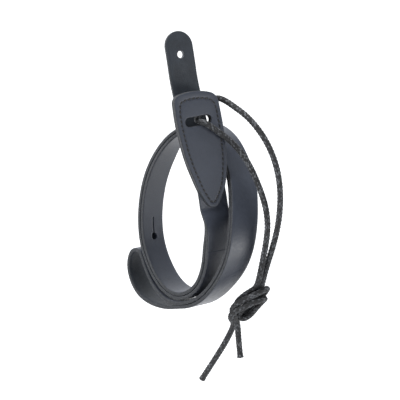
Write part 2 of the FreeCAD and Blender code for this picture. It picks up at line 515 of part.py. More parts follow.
# -------------------------------------------------------------------- export
doc.recompute()
for ob in doc.Objects:
    bad = [x for x in ob.State if x in ("Invalid", "Error")]
    if bad:
        raise RuntimeError("%s failed: %s" % (ob.Name, bad))
for ob in parts:
    if ob.Shape.isNull() or not ob.Shape.isValid() or not ob.Shape.Solids:
        raise RuntimeError("%s has no valid solid" % ob.Label)
for ob in parts:
    ob.Shape.exportStep("parts/%s.step" % ob.Label)
    bb = ob.Shape.BoundBox
    print("%-18s solids %3d volume %9.1f  x %.1f..%.1f y %.1f..%.1f z %.1f..%.1f" % (
        ob.Label, len(ob.Shape.Solids), ob.Shape.Volume, bb.XMin, bb.XMax, bb.YMin, bb.YMax, bb.ZMin, bb.ZMax))
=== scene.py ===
import bpy, bmesh, math
import numpy as np
from mathutils import Matrix, Vector


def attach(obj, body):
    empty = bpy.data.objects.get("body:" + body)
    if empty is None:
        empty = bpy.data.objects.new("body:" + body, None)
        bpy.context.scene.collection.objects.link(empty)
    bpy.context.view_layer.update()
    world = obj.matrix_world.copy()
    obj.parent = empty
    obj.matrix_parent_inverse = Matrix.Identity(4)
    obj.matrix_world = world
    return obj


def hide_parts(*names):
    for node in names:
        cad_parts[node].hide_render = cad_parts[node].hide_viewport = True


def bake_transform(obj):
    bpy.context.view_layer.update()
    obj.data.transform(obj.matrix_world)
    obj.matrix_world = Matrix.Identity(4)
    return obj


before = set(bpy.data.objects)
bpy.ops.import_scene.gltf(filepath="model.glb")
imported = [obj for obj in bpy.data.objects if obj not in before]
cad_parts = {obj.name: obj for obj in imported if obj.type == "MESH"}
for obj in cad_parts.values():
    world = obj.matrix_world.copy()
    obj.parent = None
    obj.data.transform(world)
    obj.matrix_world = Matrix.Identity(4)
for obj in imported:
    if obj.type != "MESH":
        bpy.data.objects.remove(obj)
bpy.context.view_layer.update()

MM = 0.001
scene = bpy.context.scene

# ------------------------------------------------------------------- camera
cam_data = bpy.data.cameras.new("photo_camera")
cam = bpy.data.objects.new("photo_camera", cam_data)
scene.collection.objects.link(cam)
cam.location = (0.723631, -0.842903, 0.065010)
cam.rotation_euler = (math.radians(82), 0, math.radians(40))
cam_data.sensor_width = 36
cam_data.lens = 160.97
cam_data.clip_end = 20
scene.camera = cam
scene.view_settings.view_transform = "Standard"
scene.view_settings.look = "None"


# ------------------------------------------------------------------ helpers
def new_mesh_object(name, verts, faces, smooth=True):
    me = bpy.data.meshes.new(name)
    me.from_pydata([tuple(v) for v in verts], [], [tuple(f) for f in faces])
    me.update()
    bm = bmesh.new()
    bm.from_mesh(me)
    bmesh.ops.recalc_face_normals(bm, faces=bm.faces[:])
    bm.to_mesh(me)
    bm.free()
    if smooth:
        me.polygons.foreach_set("use_smooth", [True] * len(me.polygons))
    ob = bpy.data.objects.new(name, me)
    scene.collection.objects.link(ob)
    return ob


def natural_spline(t, y):
    """Natural cubic spline through y at t; returns value and slope at x."""
    t = np.asarray(t, float)
    y = np.asarray(y, float)
    n = len(t)
    h = np.diff(t)
    A = np.zeros((n, n))
    B = np.zeros_like(y)
    A[0, 0] = A[-1, -1] = 1
    for i in range(1, n - 1):
        A[i, i - 1], A[i, i], A[i, i + 1] = h[i - 1], 2 * (h[i - 1] + h[i]), h[i]
        B[i] = 6 * ((y[i + 1] - y[i]) / h[i] - (y[i] - y[i - 1]) / h[i - 1])
    M = np.linalg.solve(A, B)

    def at(x):
        x = np.atleast_1d(np.asarray(x, float))
        k = np.clip(np.searchsorted(t, x, side="right") - 1, 0, n - 2)
        a = (t[k + 1] - x) / h[k]
        b = (x - t[k]) / h[k]
        hh = h[k]
        if y.ndim > 1:
            a, b, hh = a[:, None], b[:, None], hh[:, None]
        val = a * y[k] + b * y[k + 1] + ((a ** 3 - a) * M[k] + (b ** 3 - b) * M[k + 1]) * hh ** 2 / 6
        der = (y[k + 1] - y[k]) / hh + (-(3 * a ** 2 - 1) * M[k] + (3 * b ** 2 - 1) * M[k + 1]) * hh / 6
        return val, der
    return at


def unit(v):
    v = np.asarray(v, float)
    return v / np.linalg.norm(v, axis=-1, keepdims=True)


def float_attr(ob, name, values):
    at = ob.data.attributes.new(name, "FLOAT", "POINT")
    at.data.foreach_set("value", np.asarray(values, np.float32))


# ------------------------------------------------------- node material tools
class Mat:
    def __init__(self, name):
        self.m = bpy.data.materials.new(name)
        self.m.use_nodes = True
        self.nt = self.m.node_tree
        self.nt.nodes.clear()
        self.out = self.nt.nodes.new("ShaderNodeOutputMaterial")
        self.bsdf = self.nt.nodes.new("ShaderNodeBsdfPrincipled")
        self.nt.links.new(self.bsdf.outputs[0], self.out.inputs[0])

    def node(self, kind, **kw):
        n = self.nt.nodes.new(kind)
        for k, v in kw.items():
            setattr(n, k, v)
        return n

    def link(self, a, b):
        self.nt.links.new(a, b)

    def coord(self, which="Object"):
        return self.node("ShaderNodeTexCoord").outputs[which]

    def attr(self, name):
        return self.node("ShaderNodeAttribute", attribute_name=name).outputs["Fac"]

    def noise(self, vec, scale, detail=3.0, rough=0.55):
        n = self.node("ShaderNodeTexNoise")
        n.inputs["Scale"].default_value = scale
        n.inputs["Detail"].default_value = detail
        n.inputs["Roughness"].default_value = rough
        self.link(vec, n.inputs["Vector"])
        return n.outputs["Fac"]

    def voronoi(self, vec, scale, feature="F1", out="Distance"):
        n = self.node("ShaderNodeTexVoronoi", feature=feature)
        n.inputs["Scale"].default_value = scale
        self.link(vec, n.inputs["Vector"])
        return n.outputs[out]

    def math(self, op, a, b=None, c=None, clamp=False):
        n = self.node("ShaderNodeMath", operation=op, use_clamp=clamp)
        for i, v in enumerate((a, b, c)):
            if v is None:
                continue
            if isinstance(v, (int, float)):
                n.inputs[i].default_value = v
            else:
                self.link(v, n.inputs[i])
        return n.outputs[0]

    def remap(self, v, a, b, c, d):
        n = self.node("ShaderNodeMapRange")
        n.clamp = True
        self.link(v, n.inputs["Value"])
        for k, x in zip(("From Min", "From Max", "To Min", "To Max"), (a, b, c, d)):
            n.inputs[k].default_value = x
        return n.outputs["Result"]

    def ramp(self, v, stops):
        n = self.node("ShaderNodeValToRGB")
        cr = n.color_ramp
        while len(cr.elements) < len(stops):
            cr.elements.new(0.5)
        for e, (p, col) in zip(cr.elements, stops):
            e.position = p
            e.color = (*col, 1)
        self.link(v, n.inputs["Fac"])
        return n.outputs["Color"]

    def mix(self, fac, a, b):
        n = self.node("ShaderNodeMix", data_type="RGBA")
        for sock, v in ((n.inputs[0], fac), (n.inputs[6], a), (n.inputs[7], b)):
            if isinstance(v, (int, float)):
                sock.default_value = v
            elif isinstance(v, tuple):
                sock.default_value = (*v, 1)
            else:
                self.link(v, sock)
        return n.outputs[2]

    def bump(self, height, strength, dist, normal=None):
        n = self.node("ShaderNodeBump")
        n.inputs["Strength"].default_value = strength
        n.inputs["Distance"].default_value = dist
        self.link(height, n.inputs["Height"])
        if normal is not None:
            self.link(normal, n.inputs["Normal"])
        return n.outputs["Normal"]

    def set(self, name, v):
        s = self.bsdf.inputs[name]
        if isinstance(v, (int, float)):
            s.default_value = v
        elif isinstance(v, tuple):
            s.default_value = (*v, 1) if len(v) == 3 and s.type == "RGBA" else v
        else:
            self.link(v, s)


def leather_material(name, tint=1.0, rough=0.5, pebble=900.0, bump=0.25):
    """Dyed leather. zone: 0 grain, 1 cut edge, 2 flesh side."""
    M = Mat(name)
    uv = M.coord("UV")
    zone = M.attr("zone")
    shade = M.attr("shade")
    # grain face
    blot = M.noise(uv, 35.0, 3.0)
    fine = M.noise(uv, 420.0, 4.0, 0.6)
    cells = M.voronoi(uv, pebble)
    t = M.math("ADD", M.math("MULTIPLY", blot, 0.6), M.math("MULTIPLY", fine, 0.4))
    grain = M.ramp(t, [(0.25, (0.026 * tint, 0.031 * tint, 0.045 * tint)), (0.75, (0.040 * tint, 0.048 * tint, 0.069 * tint))])
    # cut edge: dyed fibres, paler in streaks
    streak = M.noise(uv, 900.0, 3.0, 0.7)
    edge = M.ramp(streak, [(0.38, (0.003, 0.004, 0.006)), (0.66, (0.028, 0.032, 0.040))])
    # flesh side: matt nap
    nap = M.noise(uv, 1500.0, 5.0, 0.7)
    napb = M.noise(uv, 90.0, 3.0, 0.6)
    tn = M.math("ADD", M.math("MULTIPLY", nap, 0.55), M.math("MULTIPLY", napb, 0.45))
    flesh = M.ramp(tn, [(0.34, (0.007, 0.010, 0.015)), (0.68, (0.036, 0.046, 0.062))])
    e1 = M.remap(zone, 0.35, 0.65, 0.0, 1.0)
    e2 = M.remap(zone, 1.35, 1.65, 0.0, 1.0)
    col = M.mix(e2, M.mix(e1, grain, edge), flesh)
    col = M.mix(shade, col, (0.008, 0.009, 0.011))
    M.set("Base Color", col)
    rg = M.math("ADD", M.remap(fine, 0.3, 0.7, rough - 0.06, rough + 0.07), M.math("MULTIPLY", e1, 0.22), clamp=True)
    M.set("Roughness", rg)
    M.set("Specular IOR Level", 0.5)
    M.set("Sheen Weight", 0.12)
    M.set("Sheen Roughness", 0.5)
    hg = M.math("ADD", M.math("MULTIPLY", cells, 0.7), M.math("MULTIPLY", fine, 0.5))
    hn = M.math("MULTIPLY", nap, 1.4)
    hs = M.math("MULTIPLY", streak, 1.2)
    n = M.node("ShaderNodeMix", data_type="FLOAT")
    M.link(e1, n.inputs[0]); M.link(hg, n.inputs[2]); M.link(hs, n.inputs[3])
    n2 = M.node("ShaderNodeMix", data_type="FLOAT")
    M.link(e2, n2.inputs[0]); M.link(n.outputs[0], n2.inputs[2]); M.link(hn, n2.inputs[3])
    M.set("Normal", M.bump(n2.outputs[0], bump, 0.00025))
    return M.m


def braid_material(name):
    M = Mat(name)
    pip = M.attr("pip")
    tone = M.attr("tone")
    fib = M.noise(M.coord("UV"), 2500.0, 3.0, 0.6)
    t = M.math("ADD", M.math("MULTIPLY", tone, 0.55), M.math("MULTIPLY", fib, 0.45))
    col = M.ramp(t, [(0.28, (0.004, 0.004, 0.005)), (0.52, (0.016, 0.017, 0.020)), (0.70, (0.130, 0.135, 0.145))])
    # painted shade: where the pip height is low, in the gaps between the yarns, the colour is mixed towards near
    # black
    gap_shaded_col = M.mix(M.remap(pip, 0.25, 0.75, 0.0, 1.0), (0.0015, 0.0015, 0.002), col)
    M.set("Base Color", gap_shaded_col)
    M.set("Roughness", 0.72)
    M.set("Sheen Weight", 0.06)
    M.set("Sheen Roughness", 0.6)
    M.set("Normal", M.bump(fib, 0.25, 0.0001))
    return M.m


def thread_material(name):
    M = Mat(name)
    tw = M.noise(M.coord("UV"), 3000.0, 2.0)
    M.set("Base Color", M.ramp(tw, [(0.3, (0.002, 0.002, 0.003)), (0.7, (0.009, 0.009, 0.011))]))
    M.set("Roughness", 0.45)
    M.set("Normal", M.bump(tw, 0.3, 0.0001))
    return M.m


# -------------------------------------------------------------------- cords
CORD_D = 3.6 * MM
FRONT = [(16.59, -1.25, -40.64), (18.88, -2.25, -40.43), (21.51, -1.36, -41.19), (23.64, 1.85, -43.53), (25.75, 6.08, -46.75), (28.20, 10.42, -50.47), (30.79, 14.60, -54.24), (36.75, 18.10, -62.21), (42.72, 19.60, -71.86), (48.28, 20.10, -82.67), (52.65, 20.10, -93.19), (55.07, 19.10, -104.38), (54.75, 17.60, -115.47), (53.32, 16.10, -126.08), (51.97, 15.10, -135.51), (50.60, 14.10, -144.34)]
BACK = [(16.59, -1.25, -40.64), (14.22, -0.35, -40.48), (12.57, 1.61, -38.55), (13.09, 4.85, -34.40), (14.60, 10.30, -29.39), (16.60, 15.69, -26.63), (20.98, 18.70, -28.53), (26.43, 19.41, -31.45), (36.22, 20.60, -37.06), (44.53, 22.60, -45.26), (51.64, 24.10, -55.43), (57.01, 24.60, -66.86), (59.97, 24.60, -79.02), (60.76, 24.10, -91.95), (59.77, 22.90, -105.61), (57.05, 21.30, -118.20), (54.06, 19.90, -128.70), (51.99, 18.90, -137.30), (50.46, 17.90, -144.92)]
SHORT = [(37.96, 14.10, -157.97), (35.51, 13.60, -166.51), (36.68, 13.40, -177.82), (38.41, 13.10, -188.72)]
LONG = [(34.76, 17.10, -158.22), (31.17, 16.60, -168.22), (24.30, 16.10, -181.00), (15.80, 15.50, -193.48), (5.35, 15.10, -208.08)]
# the overhand knot: each half of the cord goes down inside, round the lower
# left end, back behind, and over the front before its tail is tucked out
KNOT_A = [(46.90, 18.39, -143.85), (44.17, 15.25, -146.25), (40.51, 12.86, -149.20), (36.43, 11.01, -153.88), (35.39, 12.32, -159.63), (38.08, 15.78, -161.92), (41.07, 19.23, -159.01), (44.38, 22.58, -153.68), (48.37, 24.53, -148.06), (52.06, 23.51, -143.96), (51.38, 18.14, -145.79), (47.43, 13.14, -148.37), (43.40, 9.26, -151.14), (38.90, 6.94, -154.21), (36.22, 6.83, -158.02), (37.60, 8.10, -161.84)]
KNOT_B = [(48.16, 20.74, -145.62), (44.41, 16.98, -151.23), (40.05, 13.48, -156.97), (37.11, 11.68, -162.16), (39.93, 13.67, -164.20), (43.28, 16.97, -161.54), (45.73, 19.88, -156.91), (48.40, 22.01, -153.08), (51.59, 21.95, -150.31), (50.45, 16.35, -151.32), (46.92, 11.82, -153.29), (42.71, 8.17, -156.11), (37.56, 6.15, -159.01), (34.97, 6.90, -162.96)]
ROUTE_A = FRONT[:-1] + KNOT_A + SHORT[1:]
ROUTE_B = BACK[:-1] + KNOT_B + LONG[1:]


def nurbs_line(name, points, resolution=14):
    cu = bpy.data.curves.new(name, "CURVE")
    cu.dimensions = "3D"
    sp = cu.splines.new("NURBS")
    sp.points.add(len(points) - 1)
    for p, q in zip(sp.points, points):
        p.co = (q[0] * MM, q[1] * MM, q[2] * MM, 1)
    sp.order_u = 3
    sp.use_endpoint_u = True
    cu.resolution_u = resolution
    ob = bpy.data.objects.new(name, cu)
    scene.collection.objects.link(ob)
    bpy.context.view_layer.update()
    me = bpy.data.meshes.new_from_object(ob)
    pts = np.array([v.co[:] for v in me.vertices])
    bpy.data.objects.remove(ob)
    bpy.data.meshes.remove(me)
    return pts


def braided_cord(name, points, seed, flare=0.0, start_plain=False):
    path = nurbs_line(name + "_line", points)
    seg = np.linalg.norm(np.diff(path, axis=0), axis=1)
    s = np.r_[0, np.cumsum(seg)]
    length = s[-1]
    keep = np.r_[True, seg > 1e-7]
    line = natural_spline(s[keep], path[keep])
    n = int(length / 0.00030)
    ss = np.linspace(0, length, n + 1)
    P, T = line(ss)
    T = unit(T)
    # parallel frame
    N = np.zeros_like(P)
    a = np.cross(T[0], [0.3, 0.2, 0.9])
    N[0] = a / np.linalg.norm(a)
    for i in range(1, len(P)):
        v = N[i - 1] - T[i] * np.dot(N[i - 1], T[i])
        N[i] = v / np.linalg.norm(v)
    B = np.cross(T, N)
    m = 32
    K = 6                      # yarns each way round
    pitch = 0.0135             # one full turn of a yarn
    th = np.linspace(0, 2 * np.pi, m, endpoint=False)
    TH, SS = np.meshgrid(th, ss)
    u = (TH / (2 * np.pi)) * K + SS / pitch * K
    v = (TH / (2 * np.pi)) * K - SS / pitch * K
    iu, iv = np.floor(u), np.floor(v)
    fu, fv = u - iu, v - iv
    top = ((iu + iv) % 2) < 0.5
    across = np.where(top, fu, fv)
    along = np.where(top, fv, fu)
    bump = np.sqrt(np.clip(1 - (2 * across - 1) ** 2, 0, 1)) * (0.45 + 0.55 * np.sin(np.pi * along))
    rng = np.random.default_rng(seed)
    table = rng.random((64, 64))
    tone = table[(iu.astype(int)) % 64, (iv.astype(int)) % 64]
    r0 = CORD_D / 2 * 0.86
    R = r0 + CORD_D * 0.118 * bump
    R *= (1 + 0.015 * np.sin(SS / 0.004 + seed))
    if flare:
        d = length - SS
        R *= 1 + flare * np.exp(-(d / 0.0016) ** 2)
    V = P[:, None, :] + N[:, None, :] * (np.cos(TH) * R)[..., None] + B[:, None, :] * (np.sin(TH) * R)[..., None]
    V = V.reshape(-1, 3)
    idx = np.arange((n + 1) * m).reshape(n + 1, m)
    q = np.stack([idx[:-1], np.roll(idx, -1, 1)[:-1], np.roll(idx, -1, 1)[1:], idx[1:]], -1).reshape(-1, 4)
    faces = [tuple(f) for f in q.tolist()]
    c0, c1 = len(V), len(V) + 1
    V = np.vstack([V, P[0] - T[0] * 0.0002, P[-1] + T[-1] * 0.0005])
    for j in range(m):
        faces.append((idx[0, (j + 1) % m], idx[0, j], c0))
        faces.append((idx[-1, j], idx[-1, (j + 1) % m], c1))
    ob = new_mesh_object(name, V, faces)
    float_attr(ob, "pip", np.r_[bump.ravel(), 0.3, 0.3])
    float_attr(ob, "tone", np.r_[tone.ravel(), 0.3, 0.3])
    uvl = ob.data.uv_layers.new(name="UVMap")
    li = np.empty(len(ob.data.loops), np.int32)
    ob.data.loops.foreach_get("vertex_index", li)
    uu = np.r_[np.repeat(ss, m), ss[0], ss[-1]]
    vv = np.r_[np.tile(th * CORD_D / 2, n + 1), 0, 0]
    uvl.data.foreach_set("uv", np.stack([uu[li], vv[li]], -1).astype(np.float32).ravel())
    print("CORD", name, "spline length mm", round(length * 1000, 1))
    return ob, path, length


mat_cord = braid_material("cord_braid")
cord_a, path_a, len_a = braided_cord("tie_cord_front_half", ROUTE_A, 3, flare=0.16)
cord_b, path_b, len_b = braided_cord("tie_cord_back_half", ROUTE_B, 11, flare=0.16)
for ob in (cord_a, cord_b):
    ob.data.materials.append(mat_cord)
    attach(ob, "tie_cord")
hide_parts("cord_front_run", "cord_tail_short", "cord_knot")
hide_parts("cord_back_run", "cord_tail_long")

# ---------------------------------------------------------- strap (leather)
W = 19.05
STATIONS = [
    (-2.463, -0.696, 14.377, 0.35446, 0.92771, 0.11707, 0.92510, -0.36615, 0.10059, 2.20),
    (-0.820, -0.249, 4.927, 0.35764, 0.92845, 0.10034, 0.91493, -0.36989, 0.16149, 2.20),
    (0.820, 0.249, -4.927, 0.35432, 0.92760, 0.11837, 0.92734, -0.36484, 0.08330, 2.20),
    (1.946, 1.263, -15.175, 0.35168, 0.92627, 0.13546, 0.92375, -0.36683, 0.11010, 2.20),
    (4.090, 1.881, -24.941, 0.34920, 0.92685, 0.13785, 0.90457, -0.37182, 0.20855, 2.20),
    (6.584, 2.306, -34.663, 0.35577, 0.92788, 0.11169, 0.89882, -0.37244, 0.23109, 2.20),
    (9.384, 2.556, -44.348, 0.33359, 0.92466, 0.18365, 0.89075, -0.37295, 0.25975, 2.20),
    (12.794, 3.846, -53.869, 0.31122, 0.91901, 0.24201, 0.88489, -0.37310, 0.27887, 2.20),
    (16.530, 4.811, -64.374, 0.33916, 0.92612, 0.16512, 0.88852, -0.37302, 0.26718, 2.20),
    (19.180, 5.227, -74.072, 0.35758, 0.92830, 0.10201, 0.91126, -0.37072, 0.17937, 2.20),
    (20.639, 5.440, -81.943, 0.35787, 0.92841, 0.09992, 0.91309, -0.37033, 0.17065, 2.20),
    (21.964, 5.807, -88.932, 0.35682, 0.92583, 0.12454, 0.92595, -0.36817, 0.08406, 2.20),
    (22.870, 6.283, -95.445, 0.35946, 0.92744, 0.10321, 0.89281, -0.37398, 0.25106, 2.20),
    (24.581, 5.871, -100.050, 0.34590, 0.93728, -0.04309, 0.88393, -0.31012, 0.34998, 2.20),
    (25.694, 4.131, -108.188, 0.07142, 0.97952, -0.18824, 0.99741, -0.06843, 0.02234, 2.20),
    (25.339, 3.047, -116.804, 0.03292, 0.99625, -0.08007, 0.99672, -0.03865, -0.07105, 2.20),
    (24.358, 2.621, -125.736, -0.00271, 0.99986, -0.01658, 0.98666, -0.00003, -0.16277, 2.20),
    (22.167, 2.626, -134.267, 0.00167, 0.99999, 0.00449, 0.93744, -0.00000, -0.34815, 2.20),
    (17.950, 2.625, -141.928, -0.00085, 1.00000, -0.00105, 0.77633, 0.00000, -0.63032, 2.20),
    (11.419, 2.625, -147.339, 0.00033, 1.00000, 0.00018, 0.48182, 0.00000, -0.87627, 2.20),
    (3.188, 2.625, -149.752, -0.00009, 1.00000, -0.00000, 0.02763, 0.00000, -0.99962, 2.20),
    (-4.885, 2.625, -147.891, -0.00002, 1.00000, 0.00001, -0.43529, -0.00000, -0.90029, 2.20),
    (-11.905, 2.625, -142.712, 0.00012, 1.00000, -0.00013, -0.71202, -0.00000, -0.70215, 2.20),
    (-17.356, 2.625, -135.794, -0.00029, 1.00000, 0.00045, -0.83877, -0.00000, -0.54449, 2.20),
    (-21.632, 2.624, -127.964, 0.00070, 1.00000, -0.00154, -0.91264, 0.00001, -0.40876, 2.20),
    (-24.524, 2.626, -119.539, -0.00137, 0.99998, 0.00586, -0.97354, -0.00000, -0.22852, 2.20),
    (-25.820, 2.621, -110.946, 0.00197, 0.99978, -0.02095, -0.99544, -0.00004, -0.09536, 2.20),
    (-26.382, 3.095, -102.622, 0.00288, 0.99579, -0.09157, -0.99929, -0.00057, -0.03758, 2.20),
    (-26.449, 4.140, -94.274, -0.00484, 0.98794, -0.15477, -0.99980, -0.00176, 0.02006, 2.20),
    (-26.058, 5.719, -86.045, -0.02247, 0.97406, -0.22516, -0.99692, -0.00490, 0.07828, 2.20),
    (-25.128, 7.894, -78.129, -0.06249, 0.95549, -0.28834, -0.98552, -0.01345, 0.16900, 2.20),
    (-23.252, 10.634, -70.114, -0.12606, 0.94368, -0.30590, -0.95236, -0.02880, 0.30363, 2.20),
    (-20.433, 13.585, -62.563, -0.22497, 0.92725, -0.29932, -0.90328, -0.08330, 0.42088, 2.20),
    (-16.796, 16.918, -55.698, -0.36898, 0.89671, -0.24448, -0.76225, -0.14145, 0.63163, 2.20),
    (-10.439, 20.843, -50.123, -0.39561, 0.91457, -0.08399, -0.42457, -0.10102, 0.89974, 2.20),
    (-1.820, 24.165, -48.163, -0.31129, 0.94986, 0.02936, 0.05776, -0.01193, 0.99826, 2.20),
    (7.523, 26.670, -51.331, -0.11024, 0.98940, 0.09448, 0.51810, -0.02392, 0.85498, 2.20),
    (15.172, 27.214, -57.854, 0.08769, 0.99282, 0.08130, 0.75830, -0.11945, 0.64087, 2.20),
    (20.817, 26.991, -65.963, 0.19713, 0.97938, 0.04428, 0.81422, -0.18871, 0.54904, 2.20),
    (26.797, 25.263, -74.814, 0.31622, 0.94434, -0.09065, 0.78507, -0.20684, 0.58385, 2.20),
    (31.866, 21.785, -83.368, 0.39224, 0.89593, -0.20847, 0.81749, -0.23561, 0.52555, 2.20),
    (35.301, 18.266, -91.109, 0.38686, 0.88997, -0.24144, 0.85828, -0.25177, 0.44717, 2.20),
    (38.000, 14.965, -99.036, 0.36476, 0.89726, -0.24875, 0.89664, -0.26648, 0.35359, 2.20),
    (39.644, 12.064, -107.155, 0.31539, 0.91471, -0.25265, 0.94161, -0.26858, 0.20306, 2.20),
    (39.983, 9.633, -115.649, 0.24662, 0.93399, -0.25855, 0.96805, -0.24991, 0.02060, 2.20),
    (38.686, 7.430, -124.320, 0.15138, 0.95015, -0.27256, 0.95656, -0.21031, -0.20188, 2.20),
    (35.544, 5.507, -132.377, 0.04350, 0.96731, -0.24984, 0.89072, -0.15081, -0.42880, 2.20),
    (31.002, 3.977, -139.428, -0.01837, 0.98638, -0.16346, 0.79816, -0.08400, -0.59656, 2.20),
    (25.584, 3.144, -145.485, -0.02597, 0.99673, -0.07652, 0.68923, -0.03759, -0.72357, 2.20),
    (18.747, 2.714, -150.695, -0.02114, 0.99958, -0.01989, 0.50582, -0.00647, -0.86262, 2.20),
    (11.077, 2.610, -154.066, -0.00140, 1.00000, -0.00060, 0.30872, -0.00014, -0.95115, 2.20),
    (2.187, 2.624, -155.771, 0.00141, 1.00000, -0.00097, 0.03126, -0.00102, -0.99951, 2.20),
    (-4.539, 2.624, -154.967, -0.00177, 0.99999, -0.00447, -0.27415, -0.00479, -0.96167, 2.20),
    (-11.407, 2.624, -151.656, -0.00552, 0.99995, -0.00823, -0.56757, -0.00991, -0.82326, 2.20),
    (-17.126, 2.624, -146.496, -0.00996, 0.99991, -0.00862, -0.75437, -0.01317, -0.65632, 2.20),
    (-21.676, 2.624, -140.071, -0.01297, 0.99989, -0.00763, -0.86223, -0.01505, -0.50630, 2.20),
    (-24.962, 2.624, -133.606, -0.01464, 0.99987, -0.00641, -0.91585, -0.01599, -0.40121, 2.20),
    (-26.983, 2.624, -128.924, -0.01437, 0.99987, -0.00666, -0.90724, -0.01584, -0.42031, 2.20),
    (-29.102, 2.624, -125.928, -0.00562, 0.99995, -0.00815, -0.56717, -0.00990, -0.82354, 2.20),
    (-32.186, 2.624, -125.229, -0.00020, 1.00000, 0.00187, 0.10783, 0.00188, -0.99417, 2.20),
    (-35.294, 2.624, -126.669, -0.00812, 0.99993, 0.00871, 0.68187, 0.01190, -0.73138, 2.20),
    (-37.393, 2.624, -130.275, -0.01566, 0.99986, 0.00529, 0.94727, 0.01653, -0.32000, 2.20),
    (-38.298, 2.624, -135.579, -0.01745, 0.99985, 0.00022, 0.99977, 0.01745, -0.01284, 2.20),
    (-37.223, 2.624, -142.292, -0.01583, 0.99986, -0.00507, 0.95212, 0.01662, 0.30526, 2.20),
    (-34.156, 2.624, -148.635, -0.01203, 0.99989, -0.00807, 0.83023, 0.01449, 0.55724, 2.20),
    (-29.282, 2.624, -153.893, -0.00641, 0.99994, -0.00842, 0.60618, 0.01058, 0.79526, 2.20),
    (-22.283, 2.624, -157.490, -0.00184, 0.99998, -0.00531, 0.32225, 0.00562, 0.94664, 2.20),
    (-14.055, 2.624, -159.281, -0.00011, 1.00000, -0.00201, 0.11509, 0.00201, 0.99335, 2.20),
    (-5.642, 2.624, -159.479, -0.00056, 1.00000, 0.00130, -0.07692, -0.00134, 0.99704, 2.20),
    (2.479, 2.624, -158.335, 0.00130, 1.00000, 0.00078, -0.15846, -0.00056, 0.98737, 2.20),
    (11.806, 2.610, -156.540, -0.00134, 1.00000, -0.00036, -0.27709, -0.00003, 0.96084, 2.20),
    (20.142, 2.701, -152.865, -0.01518, 0.99975, -0.01627, -0.51511, 0.00612, 0.85710, 2.20),
    (27.453, 3.054, -147.261, -0.01566, 0.99765, -0.06674, -0.69008, 0.03752, 0.72276, 2.20),
    (33.190, 3.792, -140.783, -0.00482, 0.98933, -0.14559, -0.80155, 0.08323, 0.59211, 2.20),
    (37.962, 5.176, -133.215, 0.05734, 0.97314, -0.22294, -0.89377, 0.14954, 0.42286, 2.20),
    (41.210, 6.954, -124.563, 0.15849, 0.95648, -0.24500, -0.95808, 0.20896, 0.19599, 2.20),
    (42.481, 9.044, -115.385, 0.24755, 0.93954, -0.23661, -0.96820, 0.24901, -0.02418, 2.20),
    (42.048, 11.421, -106.474, 0.31328, 0.91980, -0.23627, -0.94129, 0.26780, -0.20555, 2.20),
    (40.286, 14.314, -98.034, 0.36223, 0.90074, -0.23971, -0.89636, 0.26610, -0.35460, 2.20),
    (37.497, 17.637, -89.910, 0.38483, 0.89223, -0.23629, -0.85815, 0.25162, -0.44752, 2.20),
    (33.962, 21.188, -81.987, 0.39114, 0.89691, -0.20631, -0.81735, 0.23549, -0.52581, 2.20),
    (28.840, 24.721, -73.334, 0.31787, 0.94355, -0.09314, -0.78513, 0.20687, -0.58376, 2.20),
    (22.978, 26.496, -64.643, 0.20422, 0.97835, 0.03342, -0.81299, 0.18853, -0.55091, 2.20),
    (17.289, 26.906, -56.412, 0.10375, 0.99266, 0.06212, -0.76257, 0.11949, -0.63578, 2.20),
    (9.138, 26.650, -49.319, -0.07894, 0.99402, 0.07548, -0.52690, 0.02268, -0.84963, 2.20),
    (-1.382, 24.226, -45.621, -0.28471, 0.95821, 0.02766, -0.07251, 0.00724, -0.99734, 2.20),
    (-11.290, 20.693, -47.692, -0.37222, 0.92536, -0.07189, 0.41499, 0.09664, -0.90468, 2.20),
    (-18.491, 16.737, -53.761, -0.34434, 0.91479, -0.21115, 0.75507, 0.13619, -0.64135, 2.20),
    (-22.617, 13.492, -61.192, -0.21179, 0.93956, -0.26900, 0.89993, 0.08014, -0.42862, 2.20),
    (-25.646, 10.623, -69.151, -0.12043, 0.95012, -0.28768, 0.95161, 0.02796, -0.30604, 2.20),
    (-27.650, 7.894, -77.582, -0.06050, 0.95908, -0.27660, 0.98519, 0.01284, -0.17099, 2.20),
    (-28.625, 5.719, -85.788, -0.02201, 0.97541, -0.21927, 0.99688, 0.00478, -0.07881, 2.20),
    (-29.028, 4.140, -94.193, -0.00479, 0.98836, -0.15209, 0.99979, 0.00173, -0.02023, 2.20),
    (-28.961, 3.095, -102.703, 0.00281, 0.99596, -0.08974, 0.99930, 0.00055, 0.03738, 2.20),
    (-28.389, 2.621, -111.187, 0.00196, 0.99978, -0.02080, 0.99542, 0.00004, 0.09562, 2.20),
    (-27.036, 2.626, -120.129, -0.00137, 0.99998, 0.00585, 0.97360, 0.00000, 0.22827, 2.20),
    (-23.980, 2.624, -129.033, 0.00069, 1.00000, -0.00152, 0.91252, -0.00000, 0.40904, 2.20),
    (-19.536, 2.625, -137.174, -0.00029, 1.00000, 0.00045, 0.83899, 0.00000, 0.54415, 2.20),
    (-13.719, 2.625, -144.547, 0.00013, 1.00000, -0.00013, 0.71135, 0.00000, 0.70284, 2.20),
    (-6.102, 2.625, -150.166, -0.00005, 1.00000, 0.00002, 0.43882, 0.00000, 0.89858, 2.20),
    (3.377, 2.625, -152.325, -0.00000, 1.00000, -0.00000, -0.03376, -0.00000, 0.99943, 2.20),
    (12.590, 2.625, -149.638, 0.00004, 1.00000, 0.00002, -0.47873, -0.00000, 0.87796, 2.20),
    (19.996, 2.625, -143.500, -0.00008, 1.00000, -0.00010, -0.77823, -0.00000, 0.62798, 2.20),
    (24.574, 2.626, -135.196, 0.00007, 1.00000, 0.00019, -0.93698, 0.00000, 0.34938, 2.20),
    (26.911, 2.621, -126.105, 0.00009, 1.00000, 0.00042, -0.98697, 0.00002, 0.16092, 2.20),
    (27.902, 2.587, -116.876, 0.03932, 0.99920, 0.00793, -0.99666, 0.03865, 0.07189, 2.10),
    (28.177, 2.520, -107.766, 0.06826, 0.99764, -0.00743, -0.99699, 0.06794, -0.03740, 1.80),
